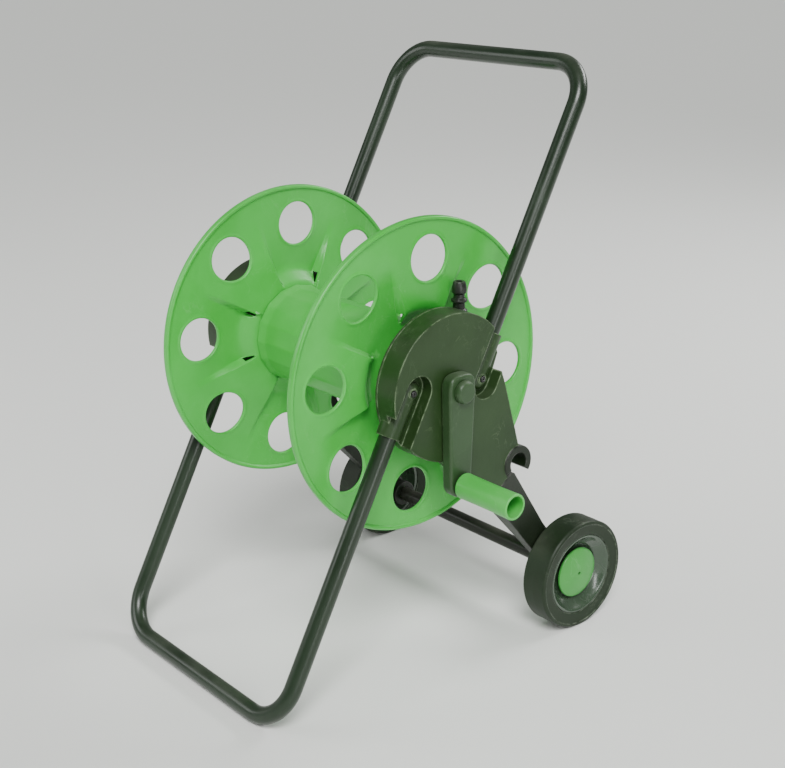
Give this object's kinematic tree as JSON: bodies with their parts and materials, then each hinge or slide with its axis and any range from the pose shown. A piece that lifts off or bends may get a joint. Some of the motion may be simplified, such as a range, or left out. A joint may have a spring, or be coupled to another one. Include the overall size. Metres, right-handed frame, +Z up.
{
  "type": "garden hose reel cart",
  "caption": "Wheeled garden hose reel cart: bent-tube handle and stand hoops, moulded side brackets, hand-cranked flanged reel, two wheels.",
  "frame": {"origin": "middle of the footprint box on the ground, z = 0 under the stand's foot bar and both wheels", "axes": "+X along the reel axis towards the crank, +Y rearwards towards the wheels and the leaning handle, +Z up"},
  "size_m": [0.447, 0.4844, 0.6512],
  "materials": {
    "tube": "glossy dark green powder coat",
    "bracket": "moulded olive plastic with a fine texture",
    "reel_green": "moulded light green plastic, satin",
    "grip_green": "moulded bright green plastic, satin",
    "tyre": "matt black moulded tyre",
    "wheel_rim": "black moulded plastic, semi-gloss",
    "cross_tube": "black powder coat",
    "zinc_steel": "zinc plated",
    "seal_rubber": "matt",
    "bush": "natural acetal",
    "fitting_black": "moulded black plastic"
  },
  "bodies": {
    "frame": {"handle_hoop": "tube", "stand_hoop": "tube", "crank_side_bracket": "bracket", "far_side_bracket": "bracket", "crank_side_bracket_cover": "bracket", "far_side_bracket_cover": "bracket", "crank_side_handle_tube_screw": "zinc_steel", "far_side_handle_tube_screw": "zinc_steel", "crank_side_stand_tube_screw": "zinc_steel", "far_side_stand_tube_screw": "zinc_steel", "crank_side_cover_screw_1": "zinc_steel", "far_side_cover_screw_1": "zinc_steel", "crank_side_cover_screw_2": "zinc_steel", "far_side_cover_screw_2": "zinc_steel", "crank_side_cover_screw_3": "zinc_steel", "far_side_cover_screw_3": "zinc_steel", "crank_side_cover_screw_4": "zinc_steel", "far_side_cover_screw_4": "zinc_steel", "cross_tube": "cross_tube", "axle_rod": "zinc_steel", "crank_side_wheel_washer": "zinc_steel", "far_side_wheel_washer": "zinc_steel", "crank_side_axle_push_nut": "zinc_steel", "far_side_axle_push_nut": "zinc_steel", "crank_side_bearing_bush": "bush", "far_side_bearing_bush": "bush", "inlet_elbow": "fitting_black", "inlet_connector": "fitting_black"},
    "reel": {"crank_side_flange": "reel_green", "far_side_flange": "reel_green", "drum": "reel_green", "inlet_spindle": "fitting_black", "far_side_spindle": "fitting_black", "inner_water_seal": "seal_rubber", "outer_water_seal": "seal_rubber", "outlet_elbow": "fitting_black", "crank_arm": "bracket", "crank_screw": "zinc_steel", "crank_cap": "bracket", "grip_pin": "fitting_black", "far_side_spindle_screw": "zinc_steel", "far_side_end_cap": "bracket"},
    "grip": {"grip": "grip_green"},
    "crank_side_wheel": {"crank_side_wheel_rim": "wheel_rim", "crank_side_tyre": "tyre", "crank_side_hub_cap": "grip_green"},
    "far_side_wheel": {"far_side_wheel_rim": "wheel_rim", "far_side_tyre": "tyre", "far_side_hub_cap": "grip_green"}
  },
  "joints": [
    {"name": "reel_spin", "type": "hinge", "parent": "frame", "child": "reel", "pos_m": [-0.0365, -0.0152, 0.33227], "axis": [1, 0, 0], "continuous": true},
    {"name": "grip_spin", "type": "hinge", "parent": "reel", "child": "grip", "pos_m": [-0.0365, -0.0152, 0.23027], "axis": [1, 0, 0], "continuous": true},
    {"name": "crank_side_wheel_spin", "type": "hinge", "parent": "frame", "child": "crank_side_wheel", "pos_m": [-0.0365, 0.17681, 0.06544], "axis": [1, 0, 0], "continuous": true},
    {"name": "far_side_wheel_spin", "type": "hinge", "parent": "frame", "child": "far_side_wheel", "pos_m": [-0.0365, 0.17681, 0.06544], "axis": [1, 0, 0], "continuous": true}
  ]
}
